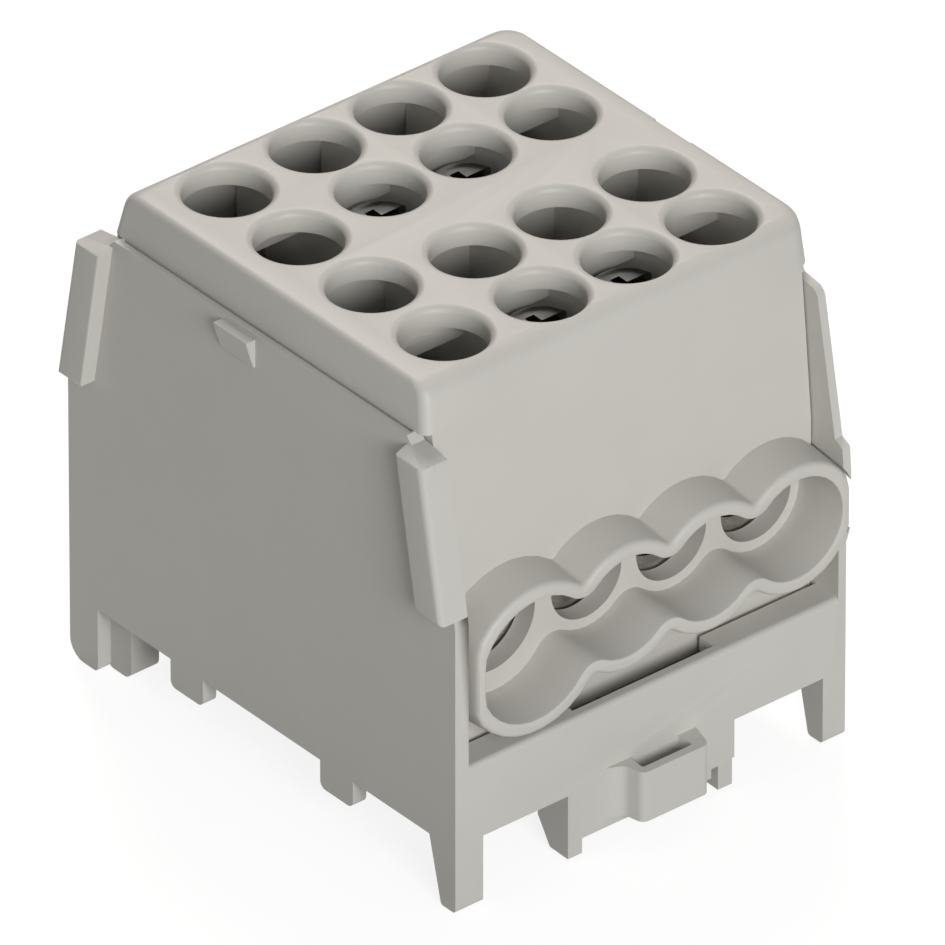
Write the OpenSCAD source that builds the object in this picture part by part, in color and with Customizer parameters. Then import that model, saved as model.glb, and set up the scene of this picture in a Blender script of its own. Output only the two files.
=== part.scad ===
// Four-pole distribution terminal block for a 35 mm mounting rail.
// A moulded base stands on four feet and carries four metal terminal bars.
// A moulded cover snaps on top, with an access hole over every clamping screw
// and a scalloped collar round the conductor entries at the front and back.

/* [Housing] */
// Width over the two end walls
body_w = 69.1; // [69:0.05:69.3]
// Depth over the front and back faces
body_d = 82.9; // [82.5:0.1:83.5]
// Height from the feet to the top face
body_h = 79.4; // [79:0.1:80]
// Height of the cover's side skirts
skirt_h = 7; // [6:0.5:8]
// Thickness of the left end wall
wall_left = 2.35; // [2:0.05:2.5]
// Thickness of the right end wall
wall_right = 1.35; // [1.2:0.05:1.5]
// Thickness of the cover's roof
roof_t = 3.3; // [2:0.1:3.6]
// Thickness of the partitions between the poles
partition_t = 1.6; // [1.2:0.1:1.8]

/* [Poles] */
// Distance between the standard poles
pole_pitch = 15; // [15:0.05:15.1]
// Distance from the large first pole to the second
first_pitch = 16.25; // [16.2:0.05:16.3]
// Distance from the left end wall's outer face to the first pole
first_pole = 13.2; // [13.1:0.1:13.3]
// Diameter of the screw access holes
access_d = 12.6; // [11:0.1:12.8]
// Inner and outer screw rows of a standard pole, from the middle
standard_rows = [10, 24.1];
// Inner and outer screw rows of the first pole, from the middle
first_rows = [7.7, 23.1];

/* [Conductor entries] */
// Height of the entries' centre line below the top face
entry_drop = 41.2; // [41:0.1:41.5]
// Diameter of a standard conductor entry
entry_d = 12.4; // [10:0.1:12.6]
// Diameter of the first pole's conductor entry
first_entry_d = 15.2; // [14:0.1:15.3]
// Distance from the middle to the collars' open rims
collar_reach = 42.8; // [42:0.1:43.5]
// Distance from the middle to the floor inside the collars
entry_floor = 33.7; // [33.5:0.1:34.5]
// Wall thickness of the collars
collar_t = 2.2; // [1.6:0.1:2.4]

/* [Metal parts] */
// Width of a standard terminal bar
bar_w = 11; // [10:0.1:11.6]
// Width of the first terminal bar
first_bar_w = 14; // [13:0.1:14.2]
// Length of the terminal bars
bar_l = 60.4; // [58:0.1:60.6]
// Height of the terminal bars' top faces above the feet
bar_top = 52; // [50:0.5:56]
// Conductor bore of a standard terminal bar
bore_d = 9; // [8:0.1:9]
// Conductor bore of the first terminal bar
first_bore_d = 11.6; // [10:0.1:11.6]
// Depth of the conductor bores
bore_l = 26.5; // [24:0.5:27]
// Diameter of the clamping screws' heads
head_d = 10.4; // [9:0.1:10.6]
// Diameter of the clamping screws' shanks
shank_d = 8; // [6:0.1:8]
// Radial clearance of a screw in its threaded hole
thread_gap = 0.05; // [0.02:0.01:0.09]

/* [Rail foot] */
// Height of the rail seat above the feet
rail_seat = 5.9; // [5:0.1:6.5]
// Height of the housing's underside above the feet
underside = 10.3; // [10:0.1:10.5]

/* [Hidden] */

// Faces per full turn of a small arc and of a bore, and degrees per side of a long arc
arc_steps = 32;
bore_steps = 64;
arc_angle = 12;
// Overlap that a cut runs past the surface it opens
over = 1;

// The housing is laid out from its middle: x across the poles,
// y along the conductors with the front at -y, z up from the feet
half_w = body_w / 2;
half_d = body_d / 2;
seam = body_h - skirt_h;
left = -half_w;
right = half_w;
pole_x = [
  left + first_pole,
  left + first_pole + first_pitch,
  left + first_pole + first_pitch + pole_pitch,
  left + first_pole + first_pitch + 2 * pole_pitch
];
entry_z = body_h - entry_drop;

// The cover hangs between the end walls with a small gap
side_gap = 0.22;
cover_left = left + wall_left + side_gap;
cover_right = right - wall_right - side_gap;
cover_foot = 19.6;
cover_side_t = 2;
// The skirts: the left one stands back from the end wall, the right one overhangs it
skirt_left_foot = left + 1.43;
skirt_left_top = left + 2.28;
skirt_right = right + 0.77;
// The cover's front face: a gentle slope, a faint crease, then a steeper slope
face_y = 35.7;
face_bend_z = body_h - 30;
crease = [33.7, body_h - 8.4];
top_edge_y = 31.9;
top_edge_r = 3;
// Radii of the skirts' end edges and of their rounded corners, seen from above
skirt_edge_r = 0.9;
corner_r_left = 1.6;
corner_r_right = 3;
rim_r = 1.1;
// Shallow cross walls under the roof
cross_wall_y = 16.9;
// Inner faces of the cover's front and back walls
entry_wall_y = 30.5;
entry_wall_top = 54;

// The whole object spans more on the left and at the front, where the corner
// bars and the latch loop stand out, and its origin is the middle of that span
bar_out = 2.42;
loop_reach = 45.7;
origin_x = (left - bar_out + skirt_right) / 2;
origin_y = (collar_reach - loop_reach) / 2;

// A polygon whose corners are rounded, each by its own radius
function unit(v) = v / norm(v);
function corner(a, b, c, r) =
  let (
    u = unit(a - b),
    w = unit(c - b),
    half = acos(u * w) / 2,
    centre = b + unit(u + w) * r / sin(half),
    from = b + u * r / tan(half),
    to = b + w * r / tan(half),
    start = atan2(from[1] - centre[1], from[0] - centre[0]),
    sweep_raw = atan2(to[1] - centre[1], to[0] - centre[0]) - start,
    sweep = sweep_raw > 180 ? sweep_raw - 360 : sweep_raw < -180 ? sweep_raw + 360 : sweep_raw,
    steps = max(2, ceil(abs(sweep) * arc_steps / 360 - 0.01))
  )
  [for (i = [0:steps]) centre + r * [cos(start + sweep * i / steps), sin(start + sweep * i / steps)]];
// Each entry is [x, y] for a sharp corner or [x, y, radius] for a round one
function rounded(path) = [
  for (i = [0:len(path) - 1])
    let (
      n = len(path),
      before = path[(i + n - 1) % n],
      here = path[i],
      after = path[(i + 1) % n]
    )
    each len(here) == 2
      ? [here]
      : corner([before[0], before[1]], [here[0], here[1]], [after[0], after[1]], here[2])
];

// Extrudes a (y, z) outline across the housing, from x = a to x = b
module across(a, b) {
  translate([a, 0, 0])
    rotate([90, 0, 90])
      linear_extrude(b - a)
        children();
}

// Extrudes an (x, z) outline along the housing, from y = a to y = b
module along(a, b) {
  translate([0, b, 0])
    rotate([90, 0, 0])
      linear_extrude(b - a)
        children();
}

// Solid that rises through outlines of equal length, each at its own height
module loft(heights, outlines) {
  n = len(outlines[0]);
  last = len(outlines) - 1;
  polyhedron(
    points = [for (j = [0:last]) each [for (p = outlines[j]) [p[0], p[1], heights[j]]]],
    faces = concat(
      [[for (k = [0:n - 1]) k]],
      [for (j = [0:last - 1], k = [0:n - 1])
        [j * n + k, (j + 1) * n + k, (j + 1) * n + (k + 1) % n, j * n + (k + 1) % n]],
      [[for (k = [n - 1:-1:0]) last * n + k]]
    )
  );
}

// A list whose last step goes twice as far, so that a plane cut ends a loft where the list ended
function overshoot(list) =
  let (last = len(list) - 1)
  concat([for (i = [0:last - 1]) list[i]], [2 * list[last] - list[last - 1]]);

// Draws its children at the front and mirrored at the back
module front_and_back() {
  children();
  mirror([0, 1, 0])
    children();
}

// A cylinder or cone lying along y, from y = a to y = b
module bore_along(x, z, a, b, r_a, r_b) {
  translate([x, a, z])
    rotate([-90, 0, 0])
      cylinder(h = b - a, r1 = r_a, r2 = r_b, $fn = bore_steps);
}

// A plain block between two corners
module block(low, high) {
  translate(low)
    cube(high - low);
}

/* ---- Base ---- */

bump_in = 12.6;
bump_out = 19.6;
foot_inner = 35.4;
wall_bend_z = 46;
// Top corner of the left wall, and the foot and width of the bars along it
wall_top_y = 37.1;
wall_top_z = seam - 1.9;
bar_foot = 47.2;
bar_w_y = 5.4;
beam_top = 22.8;
beam_t = 2.26;
shelf_y = 36.7;
floor_t = 2.4;
foot_w = 4.9;

// Lower edge of an end wall, from the front foot to the back foot
lower_edge = [
  [-half_d, 0, 0.6],
  [-38.4, 0, 0.6],
  [-35.9, underside],
  [-bump_out, underside],
  [-bump_out, rail_seat, 1.1],
  [-bump_in, rail_seat, 1.1],
  [-bump_in, underside],
  [bump_in, underside],
  [bump_in, rail_seat, 1.1],
  [bump_out, rail_seat, 1.1],
  [bump_out, underside],
  [foot_inner, underside],
  [foot_inner, 0, 0.8],
  [half_d, 0, 3]
];

// Front or back end of a wall from the seam down, where the cover's corner clears it
left_shoulder = [
  [31.2, seam],
  [32.2, seam - 1.1],
  [wall_top_y, wall_top_z, 0.6],
  [half_d, wall_bend_z]
];
// The right wall steps out beside the collar's round end
right_shoulder = [
  [31.4, seam],
  [32.4, seam - 1.6],
  [36.5, seam - 2.2, 1.8],
  [40.5, seam - 24.2],
  [42.1, seam - 25, 0.7],
  [42.4, seam - 29],
  [42.4, seam - 36.6],
  [42.1, seam - 38.9, 1.5],
  [half_d, seam - 41]
];
module end_wall_outline(shoulder) {
  polygon(rounded(concat(
    [for (p = shoulder) [for (j = [0:len(p) - 1]) j == 0 ? -p[0] : p[j]]],
    lower_edge,
    [for (i = [len(shoulder) - 1:-1:0]) shoulder[i]]
  )));
}

// Stiffening bar that leans along a corner of the left wall
module corner_bar() {
  lean = atan2(half_d - wall_top_y, wall_top_z - wall_bend_z);
  intersection() {
    across(left - bar_out - over, left + wall_left)
      polygon(rounded([
        [-wall_top_y + 0.1, wall_top_z],
        [-half_d - 1, bar_foot + 0.1],
        [-half_d, bar_foot, 1.4],
        [-35.5, bar_foot + 0.4],
        [-31.3, seam - 1]
      ]));
    along(-half_d - over, 0)
      polygon(rounded([
        [left + wall_left, seam - 1],
        [left, seam - 1],
        [left - bar_out, wall_top_z, 0.3],
        [left - bar_out, bar_foot, 0.8],
        [left + wall_left, bar_foot]
      ]));
    translate([0, -half_d, wall_bend_z])
      rotate([-lean, 0, 0])
        linear_extrude(30)
          polygon(rounded([
            [left + wall_left, 0],
            [left + wall_left, bar_w_y],
            [left - bar_out, bar_w_y, 0.4],
            [left - bar_out, 0, 1.1]
          ]));
  }
}

// Wedge on the left wall that holds the cover down
module cover_catch() {
  along(-8, -1)
    polygon(rounded([
      [left + 0.5, seam - 0.8],
      [left - 1.6, seam - 0.8],
      [left - 1.2, seam - 2.4, 1],
      [left - 0.3, seam - 5.2],
      [left + 0.5, seam - 5.2]
    ]));
}

// Ledge under a collar, with the latch pocket at the front one
module beam() {
  across(left + wall_left, right - wall_right)
    polygon(rounded([
      [-half_d, underside + 0.4],
      [-half_d, beam_top, 0.8],
      [-shelf_y, beam_top],
      [-shelf_y, beam_top - 2.2],
      [-half_d + beam_t, beam_top - 2.2],
      [-half_d + beam_t, underside + 0.4]
    ]));
}

// Front feet: the end wall's foot turned in along the front
module front_foot() {
  polygon(rounded([
    [-half_d, underside + 1],
    [-half_d, 0, 0.6],
    [-38.4, 0, 0.6],
    [-35.8, underside + 1]
  ]));
}

// Back legs that stand inside the end walls, beside the rail
module inner_leg() {
  polygon(rounded([
    [30.9, underside + 1],
    [30.9, 0, 1.6],
    [36.3, 0, 1.6],
    [36.3, underside + 1]
  ]));
}

latch_left = -14.7;
latch_right = 14.8;
latch_leg = 2.5;
loop_foot = 4.3;
loop_h = 8.1;

// Latch tongue with two legs, and the loop that a screwdriver pulls
module latch() {
  // Plate between the legs
  block([latch_left, -half_d, 2.8], [latch_right - 4.1, -half_d + beam_t, underside + 1]);
  block([latch_right - 4.2, -half_d, 4.3], [latch_right - 1, -half_d + beam_t, underside + 1]);
  for (x = [latch_left, latch_right - 0.4 - latch_leg])
    across(x, x + latch_leg)
      polygon(rounded([
        [-half_d, underside + 1],
        [-half_d, 0.4],
        [-37.6, 0.5, 0.5],
        [-35, 4.6],
        [-35, underside + 1]
      ]));
  block([latch_right - 1.2, -half_d, 4.6], [latch_right, -half_d + beam_t, underside + 1]);
  // Hook that grips the rail's edge
  across(-6, 6)
    polygon([
      [-half_d + 1, underside + 1],
      [-half_d + 1, 3.4],
      [-16.2, 3.4],
      [-17.2, 4.7],
      [-19.6, 4.9],
      [-20.4, 4.9],
      [-20.4, underside + 1],
      [-24, underside + 1],
      [-24, 5.6],
      [-half_d + 3, 5.6],
      [-half_d + 3, underside + 1]
    ]);
  // Loop
  difference() {
    translate([0, 0, loop_foot])
      linear_extrude(loop_h)
        polygon(rounded([
          [-8, -half_d + 1],
          [-8, -half_d],
          [-5.6, -half_d - 1.1, 1.6],
          [-4.9, -loop_reach, 1.3],
          [6.7, -loop_reach, 1.3],
          [7.9, -half_d],
          [8.4, -half_d + 1]
        ]));
    translate([0, 0, loop_foot - over])
      linear_extrude(loop_h + 2 * over)
        polygon(rounded([
          [-3.7, -half_d, 0.5],
          [-4, -loop_reach + 1.3, 0.5],
          [5, -loop_reach + 1.3, 0.5],
          [4.7, -half_d, 0.5]
        ]));
  }
}

// Fixed hook at the back of the rail channel
module rail_hook() {
  across(-10, 10)
    polygon([
      [24, underside + 1],
      [16.2, underside + 1],
      [20, underside],
      [20, 4.9],
      [17.2, 4.7],
      [16.2, 3.4],
      [22.4, 3.4],
      [24, 5]
    ]);
}

module housing_base() {
  color("#bdbbb6")
    difference() {
      union() {
        across(left, left + wall_left)
          end_wall_outline(left_shoulder);
        across(right - wall_right, right)
          end_wall_outline(right_shoulder);
        front_and_back()
          corner_bar();
        mirror([0, 1, 0])
          cover_catch();
        front_and_back()
          beam();
        block([left + 1, -half_d + 1, underside], [right - 1, half_d - 1, underside + floor_t]);
        across(left, left + foot_w)
          front_foot();
        across(right - foot_w + 0.9, right)
          front_foot();
        for (x = [left + wall_left - 0.1, right - wall_right - foot_w + 0.1])
          across(x, x + foot_w)
            inner_leg();
        latch();
        rail_hook();
        // Partitions and cross ribs that the terminal bars stand in
        for (i = [0:2])
          block(
            [partition_x(i) - partition_t / 2, -29, underside + 1],
            [partition_x(i) + partition_t / 2, 29, bar_top]
          );
        for (y = [-26, 0, 26])
          block([cover_left + 3.5, y - 1, underside + 1], [cover_right - 2.5, y + 1, bar_floor(0)]);
        for (y = [-26, 0, 26])
          block([partition_x(0), y - 1, underside + 1], [cover_right - 2.5, y + 1, bar_floor(1)]);
      }
      // Latch pocket in the front ledge
      block([-12.4, -half_d + 1.8, underside + floor_t], [12.5, -shelf_y + over, beam_top + over]);
      // Room for the collar's round end in the thin right wall
      front_and_back()
        translate([lobes[3][0], 0, lobes[3][1]])
          rotate([90, 0, 0])
            rotate_extrude($fn = bore_steps)
              polygon([
                [0, collar_root - side_gap],
                [notch_r + collar_flare, collar_root - side_gap],
                [notch_r + collar_flare, face_y - 1],
                [notch_r, collar_reach + over],
                [0, collar_reach + over]
              ]);
    }
}

/* ---- Terminal bars and screws ---- */

// Middle of the partition after pole i
function partition_x(i) = i == 0
  ? (pole_x[0] + first_bar_w / 2 + pole_x[1] - bar_w / 2) / 2
  : (pole_x[i] + pole_x[i + 1]) / 2;
function bar_bore(i) = i == 0 ? first_bore_d : bore_d;
function bar_width(i) = i == 0 ? first_bar_w : bar_w;
// Underside of bar i
function bar_floor(i) = entry_z - bar_bore(i) / 2 - 2;
// Screws a to d of pole i, from the back to the front
function screw_y(i, k) =
  let (rows = i == 0 ? first_rows : standard_rows)
  [rows[1], rows[0], -rows[0], -rows[1]][k];

// A bar with a blind conductor bore at each end and four threaded holes
module terminal_bar(i) {
  color("#c8c6bf")
    difference() {
      block(
        [pole_x[i] - bar_width(i) / 2, -bar_l / 2, bar_floor(i)],
        [pole_x[i] + bar_width(i) / 2, bar_l / 2, bar_top]
      );
      front_and_back() {
        bore_along(pole_x[i], entry_z, -bar_l / 2 - over, -bar_l / 2 + bore_l, bar_bore(i) / 2, bar_bore(i) / 2);
        bore_along(pole_x[i], entry_z, -bar_l / 2 - 0.01, -bar_l / 2 + 0.8, bar_bore(i) / 2 + 0.8, bar_bore(i) / 2);
      }
      for (k = [0:3])
        translate([pole_x[i], screw_y(i, k), entry_z])
          cylinder(h = bar_top - entry_z + over, r = shank_d / 2 + thread_gap, $fn = bore_steps);
    }
}

// Head height and whole length of a clamping screw
head_h = 5;
screw_l = 26.6;
// How far each screw of a pole is turned down, from a to d
turned_down = [
  [3, 3, 3, 3],
  [4, 0, 4, 0],
  [4, 0, 4, 0],
  [4, 4, 4, 4]
];
// Depth of a fully raised head below the top face, and the bevel of the tip
head_drop = 5;
tip_r = 2.6;
tip_h = 1.4;

// Cheese-head screw with a slot and a cross, a plain round shank and a bevelled tip
module clamp_screw(i, k) {
  tip = body_h - head_drop - screw_l - turned_down[i][k];
  color("#b9bab8")
    translate([pole_x[i], screw_y(i, k), tip])
      difference() {
        union() {
          cylinder(h = tip_h, r1 = tip_r, r2 = shank_d / 2, $fn = bore_steps);
          translate([0, 0, tip_h])
            cylinder(h = screw_l - head_h - tip_h, r = shank_d / 2, $fn = bore_steps);
          translate([0, 0, screw_l - head_h])
            rotate_extrude($fn = bore_steps)
              polygon(rounded([
                [0, 0],
                [head_d / 2, 0],
                [head_d / 2, head_h, 0.7],
                [0, head_h]
              ]));
        }
        translate([0, 0, screw_l - 1.1])
          block([-head_d / 2 - over, -0.8, -1], [head_d / 2 + over, 0.8, 1.1 + over]);
        translate([0, 0, screw_l - 1.1])
          block([-0.8, -2.6, -1], [0.8, 2.6, 1.1 + over]);
      }
}

/* ---- Cover ---- */

// Depth of the cover's front face from the middle, above the crease
function face_at(z) =
  crease[0] + (top_edge_y - crease[0]) * (z - crease[1]) / (body_h - crease[1]);

// The cover below the seam, between the end walls
module cover_body() {
  half = [
    [-face_y, cover_foot],
    [-face_y, face_bend_z],
    [-crease[0], crease[1]],
    [-face_at(seam), seam]
  ];
  across(cover_left, cover_right)
    polygon(concat(half, [for (i = [3:-1:0]) [-half[i][0], half[i][1]]]));
}

// Outline of the cover at a height above the seam, seen from above
function skirt_outline(y, z) =
  let (
    rise = max(0, z - body_h + skirt_edge_r),
    inset = skirt_edge_r - sqrt(skirt_edge_r * skirt_edge_r - rise * rise),
    low = skirt_left_foot + (skirt_left_top - skirt_left_foot) * (z - seam) / skirt_h + inset,
    high = skirt_right - inset
  )
  rounded([[low, -y, corner_r_left], [high, -y, corner_r_right], [high, y, corner_r_right], [low, y, corner_r_left]]);

// The cover above the seam: skirts, round corners and the round top edge
module cover_top() {
  edge = corner(crease, [top_edge_y, body_h], [0, body_h], top_edge_r);
  path = concat([[face_at(seam - over), seam - over]], edge);
  intersection() {
    block([left, -half_d, seam], [right + over, half_d, body_h]);
    loft(
      overshoot([for (p = path) p[1]]),
      overshoot([for (p = path) skirt_outline(p[0], min(p[1], body_h))])
    );
  }
}

// Space inside the cover, with thicker walls round the conductor entries
module cover_cavity() {
  across(cover_left + cover_side_t, cover_right - cover_side_t + 0.4)
    polygon([
      [-entry_wall_y, cover_foot - over],
      [-entry_wall_y, entry_wall_top],
      [-face_y + 2.6, entry_wall_top + 2],
      [-crease[0] + 2.3, crease[1]],
      [-30.6, body_h - roof_t],
      [30.6, body_h - roof_t],
      [crease[0] - 2.3, crease[1]],
      [face_y - 2.6, entry_wall_top + 2],
      [entry_wall_y, entry_wall_top],
      [entry_wall_y, cover_foot - over]
    ]);
}

// Collar lobes: [x, z, inner radius at the rim]
lobes = [
  [pole_x[0] + 0.25, entry_z - 1.9, 9.6],
  [pole_x[1], entry_z - 0.1, 7.9],
  [pole_x[2], entry_z - 0.1, 7.9],
  [pole_x[3], entry_z - 0.1, 7.9]
];
valley_r = 3.2;
collar_flare = 0.6;
lip_r = 0.8;
// Where the collar's wall starts inside the cover, and the radius of the wall's notch for it
collar_root = entry_wall_y + 1;
notch_r = lobes[3][2] + collar_t + side_gap;
// The flat ends stand inside the end walls, and their walls are thinner
collar_flat_left = left + 4.4;
collar_flat_right = right - 1.7;
flat_share = 0.6;

// Centre of the round valley between two lobes, above (side = 1) or below (side = -1)
function valley(i, side) =
  let (
    p = [lobes[i][0], lobes[i][1]],
    q = [lobes[i + 1][0], lobes[i + 1][1]],
    ra = lobes[i][2] + valley_r,
    rb = lobes[i + 1][2] + valley_r,
    d = norm(q - p),
    t = (ra * ra - rb * rb + d * d) / (2 * d),
    h = sqrt(ra * ra - t * t),
    u = (q - p) / d
  )
  p + u * t + side * h * [-u[1], u[0]];

// Points of an arc, and the angle from one point to another
function arc(c, r, a, b, ends) =
  let (n = max(3, ceil(abs(b - a) / arc_angle)))
  [for (k = ends ? [0:n] : [1:n - 1]) c + r * [cos(a + (b - a) * k / n), sin(a + (b - a) * k / n)]];
function heading(p, q) = atan2(q[1] - p[1], q[0] - p[0]);
function rise(a, b) = b > a ? b : b + 360;
function fall(a, b) = b < a ? b : b - 360;

// Part of lobe i between two valley centres, and the valley from lobe i to lobe j
function lobe_arc(i, from, to, grow) =
  let (c = [lobes[i][0], lobes[i][1]], a = heading(c, from))
  arc(c, lobes[i][2] + grow, a, rise(a, heading(c, to)), true);
function valley_arc(i, j, side, grow) =
  let (
    c = valley(min(i, j), side),
    a = heading(c, [lobes[i][0], lobes[i][1]]),
    b = heading(c, [lobes[j][0], lobes[j][1]])
  )
  arc(c, valley_r - grow, a, fall(a, b), false);

// Scalloped outline of the collar's opening, grown outwards by a distance
function scallops(grow) = concat(
  lobe_arc(0, valley(0, 1), valley(0, -1), grow),
  valley_arc(0, 1, -1, grow),
  lobe_arc(1, valley(0, -1), valley(1, -1), grow),
  valley_arc(1, 2, -1, grow),
  lobe_arc(2, valley(1, -1), valley(2, -1), grow),
  valley_arc(2, 3, -1, grow),
  lobe_arc(3, valley(2, -1), valley(2, 1), grow),
  valley_arc(3, 2, 1, grow),
  lobe_arc(2, valley(2, 1), valley(1, 1), grow),
  valley_arc(2, 1, 1, grow),
  lobe_arc(1, valley(1, 1), valley(0, 1), grow),
  valley_arc(1, 0, 1, grow)
);

// The scallops' outline with its two round ends cut flat beside the end walls
function collar_outline(grow) = [
  for (p = scallops(grow)) [
    min(max(p[0], collar_flat_left - grow * flat_share), collar_flat_right + grow * flat_share),
    p[1]
  ]
];

// Outside of a collar: a wall that flares towards the cover's face, and a round lip
module collar_outside() {
  path = overshoot(concat(
    [[collar_root, collar_t + collar_flare], [face_y - 1, collar_t + collar_flare]],
    [for (a = [0:30:90]) [collar_reach - lip_r * (1 - sin(a)), collar_t - lip_r * (1 - cos(a))]]
  ));
  intersection() {
    block([left, -collar_reach, 0], [right + over, 0, body_h]);
    rotate([90, 0, 0])
      loft([for (p = path) p[0]], [for (p = path) collar_outline(p[1])]);
  }
}

// Inside of a collar, from the floor round the entries to in front of the lip
module collar_inside() {
  path = overshoot([
    [entry_wall_y, -0.3],
    [collar_reach - lip_r / 2, 0],
    [collar_reach - lip_r * 0.15, lip_r * 0.15],
    [collar_reach, lip_r / 2]
  ]);
  intersection() {
    block([left, -collar_reach - over, 0], [right, -entry_floor, body_h]);
    rotate([90, 0, 0])
      loft([for (p = path) p[0]], [for (p = path) collar_outline(p[1])]);
  }
}

// Access hole with a softly rounded rim
module access_hole(x, y) {
  translate([x, y, body_h - roof_t - over])
    cylinder(h = roof_t + 2 * over, r = access_d / 2, $fn = bore_steps);
  translate([x, y, body_h - rim_r])
    rotate_extrude($fn = bore_steps)
      difference() {
        translate([access_d / 2 - 0.2, 0])
          square([rim_r + 0.2, rim_r + 0.01]);
        translate([access_d / 2 + rim_r, 0])
          circle(r = rim_r, $fn = arc_steps);
      }
}

module housing_cover() {
  color("#cbc8c3")
    difference() {
      union() {
        difference() {
          union() {
            cover_body();
            cover_top();
          }
          cover_cavity();
        }
        // Partitions and cross walls that hang from the roof
        for (i = [0:2])
          block(
            [partition_x(i) - partition_t / 2, -31, bar_top + 0.3],
            [partition_x(i) + partition_t / 2, 31, body_h - 1]
          );
        for (y = [-cross_wall_y, cross_wall_y])
          block([cover_left + 1, y - 0.7, 73], [cover_right - 1, y + 0.7, body_h - 1]);
        block([cover_left + 1, -0.8, 60], [cover_right - 1, 0.8, body_h - 1]);
        front_and_back()
          collar_outside();
      }
      front_and_back()
        collar_inside();
      // Conductor entries
      front_and_back()
        for (i = [0:3])
          bore_along(
            i == 0 ? pole_x[0] - 0.4 : pole_x[i],
            i == 0 ? entry_z - 0.3 : entry_z,
            -entry_floor - over,
            -entry_wall_y + over,
            (i == 0 ? first_entry_d : entry_d) / 2,
            (i == 0 ? first_entry_d : entry_d) / 2
          );
      for (i = [0:3])
        for (k = [0:3])
          access_hole(pole_x[i], screw_y(i, k));
      // Finger recess in the right skirt
      block([right + 0.1, -8, seam - over], [right + 2, 0, body_h + over]);
    }
}

translate([-origin_x, -origin_y, 0]) {
  housing_base();
  housing_cover();
  terminal_bar(0);  // terminal_bar_1
  terminal_bar(1);  // terminal_bar_2
  terminal_bar(2);  // terminal_bar_3
  terminal_bar(3);  // terminal_bar_4
  clamp_screw(0, 0);  // clamp_screw_1a
  clamp_screw(0, 1);  // clamp_screw_1b
  clamp_screw(0, 2);  // clamp_screw_1c
  clamp_screw(0, 3);  // clamp_screw_1d
  clamp_screw(1, 0);  // clamp_screw_2a
  clamp_screw(1, 1);  // clamp_screw_2b
  clamp_screw(1, 2);  // clamp_screw_2c
  clamp_screw(1, 3);  // clamp_screw_2d
  clamp_screw(2, 0);  // clamp_screw_3a
  clamp_screw(2, 1);  // clamp_screw_3b
  clamp_screw(2, 2);  // clamp_screw_3c
  clamp_screw(2, 3);  // clamp_screw_3d
  clamp_screw(3, 0);  // clamp_screw_4a
  clamp_screw(3, 1);  // clamp_screw_4b
  clamp_screw(3, 2);  // clamp_screw_4c
  clamp_screw(3, 3);  // clamp_screw_4d
}
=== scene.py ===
import math
import bmesh
import bpy
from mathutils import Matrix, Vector


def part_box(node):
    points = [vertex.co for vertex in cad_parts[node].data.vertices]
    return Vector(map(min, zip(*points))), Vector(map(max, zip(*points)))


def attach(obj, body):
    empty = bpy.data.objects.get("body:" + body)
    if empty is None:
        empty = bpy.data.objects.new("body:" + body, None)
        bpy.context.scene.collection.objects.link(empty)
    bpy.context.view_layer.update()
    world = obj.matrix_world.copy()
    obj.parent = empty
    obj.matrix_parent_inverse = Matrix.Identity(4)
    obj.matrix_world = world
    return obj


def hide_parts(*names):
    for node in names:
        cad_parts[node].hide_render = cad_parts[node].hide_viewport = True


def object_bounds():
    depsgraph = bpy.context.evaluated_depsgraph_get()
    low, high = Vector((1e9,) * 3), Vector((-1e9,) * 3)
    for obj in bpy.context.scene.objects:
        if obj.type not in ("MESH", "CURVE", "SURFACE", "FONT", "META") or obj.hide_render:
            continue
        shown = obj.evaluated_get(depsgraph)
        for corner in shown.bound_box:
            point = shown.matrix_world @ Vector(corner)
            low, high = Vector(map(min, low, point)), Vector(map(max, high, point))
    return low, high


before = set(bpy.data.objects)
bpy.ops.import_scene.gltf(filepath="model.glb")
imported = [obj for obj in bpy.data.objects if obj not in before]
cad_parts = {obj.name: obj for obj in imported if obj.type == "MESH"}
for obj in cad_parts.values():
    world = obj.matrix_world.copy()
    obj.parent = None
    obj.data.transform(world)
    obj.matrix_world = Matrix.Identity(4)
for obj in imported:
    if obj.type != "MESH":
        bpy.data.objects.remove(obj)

cad_low, cad_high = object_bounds()


# ---- Housing base ----
# The base is one injection moulding in a light grey, glass-filled polyamide: two end walls on feet,
# the ledges that carry the cover's collars, and the latch with its pull loop. Its edges are only
# slightly rounded, as the steel mould leaves them.

def linear(code):
    """An sRGB hex colour as linear RGBA."""
    channels = [int(code[i:i + 2], 16) / 255 for i in (1, 3, 5)]
    return [c / 12.92 if c <= 0.04045 else ((c + 0.055) / 1.055) ** 2.4 for c in channels] + [1]


def add(tree, kind, settings=None, **inputs):
    """Adds a node, sets its properties, and fills its inputs with values or other nodes' outputs."""
    node = tree.nodes.new("ShaderNode" + kind)
    for key, value in (settings or {}).items():
        setattr(node, key, value)
    for key, value in inputs.items():
        socket = node.inputs[int(key[1:])] if key[1:].isdigit() else node.inputs[key.replace("_", " ")]
        if isinstance(value, bpy.types.NodeSocket):
            tree.links.new(value, socket)
        else:
            socket.default_value = value
    return node


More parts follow.
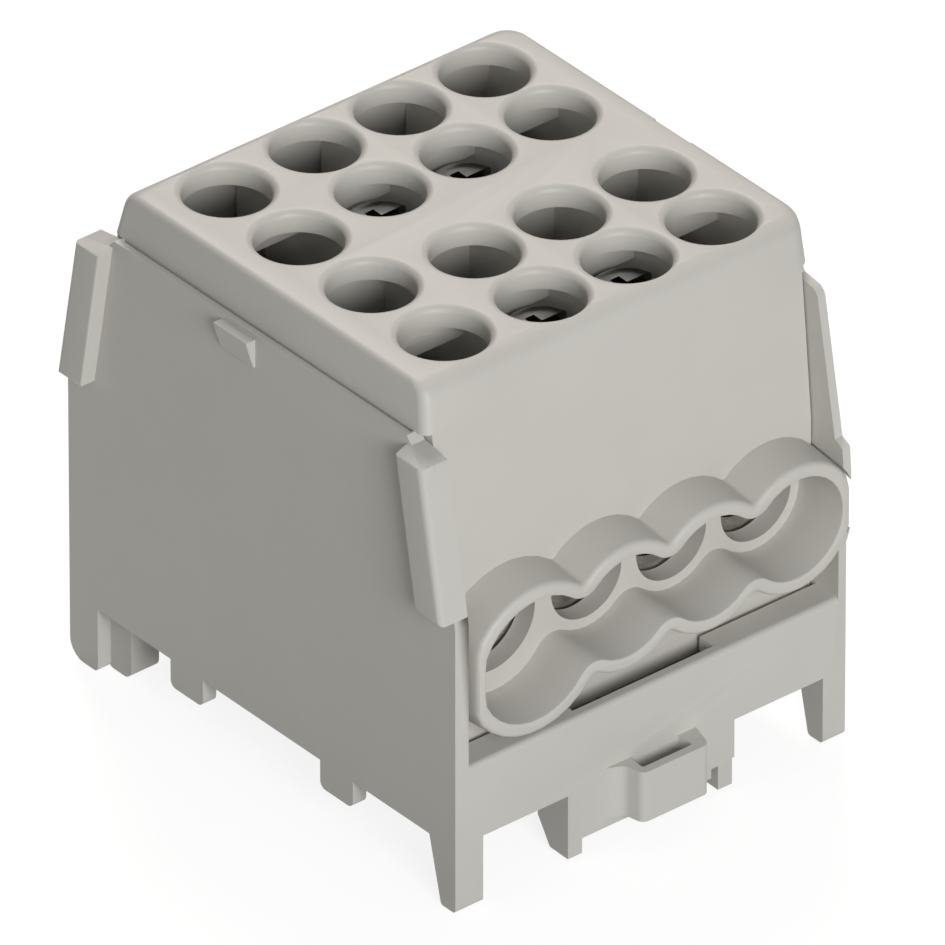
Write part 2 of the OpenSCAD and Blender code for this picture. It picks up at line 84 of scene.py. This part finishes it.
def polyamide(name, light, dark):
    """Matt moulded polyamide: a faint cloudy tone from the flow of the melt, the fine grain of a
    spark-eroded mould, and a soft sheen."""
    material = bpy.data.materials.new(name)
    material.use_nodes = True
    tree = material.node_tree
    tree.nodes.clear()
    place = add(tree, "TexCoord").outputs["Object"]
    cloud = add(tree, "TexNoise", Vector=place, Scale=45, Detail=3, Roughness=0.6).outputs["Fac"]
    tone = add(tree, "ValToRGB", Fac=cloud)
    tone.color_ramp.elements[0].position = 0.3
    tone.color_ramp.elements[0].color = linear(dark)
    tone.color_ramp.elements[1].position = 0.7
    tone.color_ramp.elements[1].color = linear(light)
    # Grain of about 0.2 mm over shallow waves of about 6 mm
    grain = add(tree, "TexNoise", Vector=place, Scale=5200, Detail=2, Roughness=0.5).outputs["Fac"]
    flow = add(tree, "TexNoise", Vector=place, Scale=160, Detail=2).outputs["Fac"]
    height = add(tree, "Math", {"operation": "MULTIPLY_ADD"}, _0=flow, _1=2.5, _2=grain).outputs[0]
    bump = add(tree, "Bump", Strength=0.16, Distance=0.00006, Height=height).outputs[0]
    rough = add(tree, "MapRange", Value=cloud, To_Min=0.42, To_Max=0.54).outputs[0]
    surface = add(tree, "BsdfPrincipled", Base_Color=tone.outputs[0], Roughness=rough, Normal=bump)
    add(tree, "OutputMaterial", Surface=surface.outputs[0])
    return material


def bevel_room(mesh, chosen):
    """For each chosen edge, the widest bevel that its faces have room for."""
    room = {}
    for face in mesh.faces:
        corners = list(face.loops)
        for before, here, after in zip(corners[-1:] + corners, corners, corners[1:] + corners[:1]):
            if here.edge not in chosen:
                continue
            first, last = max(here.calc_angle(), 0.001), max(after.calc_angle(), 0.001)
            widest = room.get(here.edge, 1)
            if before.edge in chosen and after.edge in chosen:
                closing = 1 / math.tan(first / 2) + 1 / math.tan(last / 2)
                if closing > 1e-6:
                    widest = min(widest, here.edge.calc_length() / closing)
            for side, angle in ((before.edge, first), (after.edge, last)):
                if side not in chosen and math.sin(angle) > 1e-6:
                    widest = min(widest, side.calc_length() * math.sin(angle))
            room[here.edge] = widest
    return room


def rounded_copy(node_name, body, material, radius, segments=3, weld=2e-6, detail=None):
    """A copy of a CAD solid with its facets merged into whole faces and its sharp edges rounded,
    except where a very short edge leaves no room for that."""
    mesh = bmesh.new()
    mesh.from_mesh(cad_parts[node_name].data)
    bmesh.ops.remove_doubles(mesh, verts=mesh.verts, dist=weld)
    bmesh.ops.dissolve_limit(mesh, angle_limit=math.radians(0.4), verts=mesh.verts, edges=mesh.edges)
    if detail:
        detail(mesh)
    corner = math.radians(32)
    chosen = {edge for edge in mesh.edges if edge.calc_face_angle(0) > corner}
    # A long edge that ends in a tight place stays sharp only for its last millimetre
    for edge, room in bevel_room(mesh, chosen).items():
        if room < radius and edge.calc_length() > 8 * radius:
            for vertex in tuple(edge.verts):
                bmesh.utils.edge_split(edge, vertex, 3 * radius / edge.calc_length())
    chosen = {edge for edge in mesh.edges if edge.calc_face_angle(0) > corner}
    tight = chosen
    while tight:
        room = bevel_room(mesh, chosen)
        tight = {edge for edge in chosen if room.get(edge, 0) < radius}
        chosen = chosen - tight
    weight = mesh.edges.layers.float.new("bevel_weight_edge")
    for edge in mesh.edges:
        edge[weight] = edge in chosen
        edge.smooth = edge in chosen or edge.calc_face_angle(0) < corner
    for face in mesh.faces:
        face.smooth = True
    data = bpy.data.meshes.new(node_name + "_shell")
    mesh.to_mesh(data)
    mesh.free()
    piece = bpy.data.objects.new(node_name + "_shell", data)
    bpy.context.scene.collection.objects.link(piece)
    data.materials.append(material)
    bevel = piece.modifiers.new("edges", "BEVEL")
    bevel.width = radius
    bevel.segments = segments
    bevel.limit_method = "WEIGHT"
    bevel.harden_normals = True
    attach(piece, body)
    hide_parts(node_name)


def parting_gap(mesh):
    """The narrow gap along the top of the left wall, at the foot of the cover's skirt."""
    def ledge():
        return [f for f in mesh.faces if f.normal.z > 0.99 and f.calc_center_median().z > 0.0723
                and f.calc_center_median().x < -0.031]
    for point, normal in (((-0.0327, 0, 0), (1, 0, 0)), ((-0.0322, 0, 0), (1, 0, 0)),
                          ((0, -0.0294, 0), (0, 1, 0)), ((0, 0.0323, 0), (0, 1, 0))):
        faces = ledge()
        parts = faces + list({e for f in faces for e in f.edges}) + list({v for f in faces for v in f.verts})
        bmesh.ops.bisect_plane(mesh, geom=parts, plane_co=point, plane_no=normal)
    strip = [f for f in ledge() if -0.0327 < f.calc_center_median().x < -0.0322
             and -0.0294 < f.calc_center_median().y < 0.0323]
    sunk = bmesh.ops.extrude_face_region(mesh, geom=strip)["geom"]
    bmesh.ops.delete(mesh, geom=strip, context="FACES_ONLY")
    bmesh.ops.translate(mesh, verts=[v for v in sunk if isinstance(v, bmesh.types.BMVert)], vec=(0, 0, -0.0006))
    bmesh.ops.recalc_face_normals(mesh, faces=mesh.faces)


base_plastic = polyamide("base_polyamide", "#cac8c3", "#c5c3be")
rounded_copy("housing_base", "block", base_plastic, radius=0.00035, weld=0.0001, detail=parting_gap)


# ---- Housing cover ----
# The cover is a second moulding in nearly the same grey, a little warmer. It snaps over the bars
# from above, and its scalloped collars and the rims of its screw holes have softer edges.

cover_plastic = polyamide("cover_polyamide", "#cbc8c3", "#c7c4bf")
rounded_copy("housing_cover", "block", cover_plastic, radius=0.0004)


# ---- Terminal bars ----
# Four drilled and tapped bars of tin-plated brass, one for each pole. Tin is a soft, slightly
# cloudy silver, with fine marks along the bar from sawing and plating.

def plating(name, light, dark, smooth, rough):
    """Bright plated metal: clouded plating, fine marks along y, and an uneven polish."""
    material = bpy.data.materials.new(name)
    material.use_nodes = True
    tree = material.node_tree
    tree.nodes.clear()
    place = add(tree, "TexCoord").outputs["Object"]
    cloud = add(tree, "TexNoise", Vector=place, Scale=260, Detail=4).outputs["Fac"]
    tone = add(tree, "ValToRGB", Fac=cloud)
    tone.color_ramp.elements[0].position = 0.35
    tone.color_ramp.elements[0].color = linear(dark)
    tone.color_ramp.elements[1].position = 0.65
    tone.color_ramp.elements[1].color = linear(light)
    polish = add(tree, "MapRange", Value=cloud, To_Min=smooth, To_Max=rough).outputs[0]
    stretch = add(tree, "Mapping", Vector=place, Scale=(1, 0.06, 1)).outputs[0]
    marks = add(tree, "TexNoise", Vector=stretch, Scale=4000, Detail=2).outputs["Fac"]
    bump = add(tree, "Bump", Strength=0.25, Distance=0.00003, Height=marks).outputs[0]
    surface = add(
        tree, "BsdfPrincipled", Base_Color=tone.outputs[0], Metallic=1.0, Roughness=polish, Normal=bump
    )
    add(tree, "OutputMaterial", Surface=surface.outputs[0])
    return material


tin = plating("tin_plated_brass", "#cfcdc9", "#a9a7a2", 0.18, 0.34)
for pole in (1, 2, 3, 4):
    rounded_copy(f"terminal_bar_{pole}", "block", tin, radius=0.0004)


# ---- Clamping screws ----
# Sixteen zinc-plated steel screws with cheese heads, slotted and crossed for either driver.

zinc = plating("zinc_plated_steel", "#a5a5a2", "#868787", 0.12, 0.22)
for pole in (1, 2, 3, 4):
    for place in "abcd":
        screw = f"clamp_screw_{pole}{place}"
        rounded_copy(screw, screw, zinc, radius=0.0002, segments=2)


# ---- Floor and lights ----
# A white table that keeps only a faint shadow, a large soft box in front to the left and a little above,
# a weaker one above and behind to the right, and an even pale surround.

def studio_floor():
    """The floor lights the object as a light grey, and looks almost white to the camera."""
    material = bpy.data.materials.new("floor_white")
    material.use_nodes = True
    tree = material.node_tree
    tree.nodes.clear()
    rays = add(tree, "LightPath")
    seen = add(tree, "Math", {"operation": "MAXIMUM"}, _0=rays.outputs["Is Camera Ray"],
               _1=rays.outputs["Is Glossy Ray"]).outputs[0]
    matt = add(tree, "BsdfDiffuse", Color=linear("#a6a6a4")).outputs[0]
    shade = add(tree, "BsdfDiffuse", Color=linear("#8c8c8c")).outputs[0]
    glow = add(tree, "Emission", Color=(1, 1, 1, 1), Strength=0.85).outputs[0]
    white = add(tree, "AddShader", _0=shade, _1=glow).outputs[0]
    blend = add(tree, "MixShader", _0=seen, _1=matt, _2=white).outputs[0]
    add(tree, "OutputMaterial", Surface=blend)
    mesh = bmesh.new()
    bmesh.ops.create_grid(mesh, x_segments=1, y_segments=1, size=6)
    data = bpy.data.meshes.new("floor")
    mesh.to_mesh(data)
    mesh.free()
    floor = bpy.data.objects.new("floor", data)
    floor.location.z = cad_low[2] - 0.0002
    data.materials.append(material)
    bpy.context.scene.collection.objects.link(floor)


def soft_box(name, place, size, power, colour):
    """A round soft box that points at the middle of the object."""
    lamp = bpy.data.lights.new(name, "AREA")
    lamp.shape = "DISK"
    lamp.size = size
    lamp.energy = power
    lamp.color = linear(colour)[:3]
    light = bpy.data.objects.new(name, lamp)
    light.location = place
    light.rotation_euler = (Vector((0, 0, 0.04)) - Vector(place)).to_track_quat("-Z", "Y").to_euler()
    bpy.context.scene.collection.objects.link(light)


studio_floor()
soft_box("front_box", (-0.55, -1.6, 0.65), 0.9, 22.5, "#fffffe")
soft_box("top_box", (0.4, 0.62, 0.9), 0.5, 6.9, "#fff8f2")

world = bpy.data.worlds.new("studio")
world.use_nodes = True
sky = world.node_tree
sky.nodes.clear()
rays = add(sky, "LightPath")
seen = add(sky, "Math", {"operation": "MAXIMUM"}, _0=rays.outputs["Is Camera Ray"],
           _1=rays.outputs["Is Transmission Ray"]).outputs[0]
ambient = add(sky, "Background", Color=linear("#eef1ee"), Strength=0.25).outputs[0]
white = add(sky, "Background", Color=(1, 1, 1, 1), Strength=1.0).outputs[0]
blend = add(sky, "MixShader", _0=seen, _1=ambient, _2=white).outputs[0]
add(sky, "OutputWorld", Surface=blend)
bpy.context.scene.world = world
bpy.context.scene.view_settings.view_transform = "Standard"


# ---- Camera ----
# It looks down from the front left through a very long lens, at a point beside the first bar.

turn, rise, distance = math.radians(39.63), math.radians(33.28), 4.428
ahead = Vector((math.sin(turn) * math.cos(rise), math.cos(turn) * math.cos(rise), -math.sin(rise)))
bar_low, bar_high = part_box("terminal_bar_1")
aim = Vector(((bar_low[0] + bar_high[0]) / 2 + 0.004287, -0.022524, 0.055453))
lens = bpy.data.cameras.new("camera")
lens.lens = 1247
lens.sensor_width = 36
lens.clip_end = 50
camera = bpy.data.objects.new("camera", lens)
camera.location = aim - ahead * distance
camera.rotation_euler = ahead.to_track_quat("-Z", "Y").to_euler()
bpy.context.scene.collection.objects.link(camera)
bpy.context.scene.camera = camera
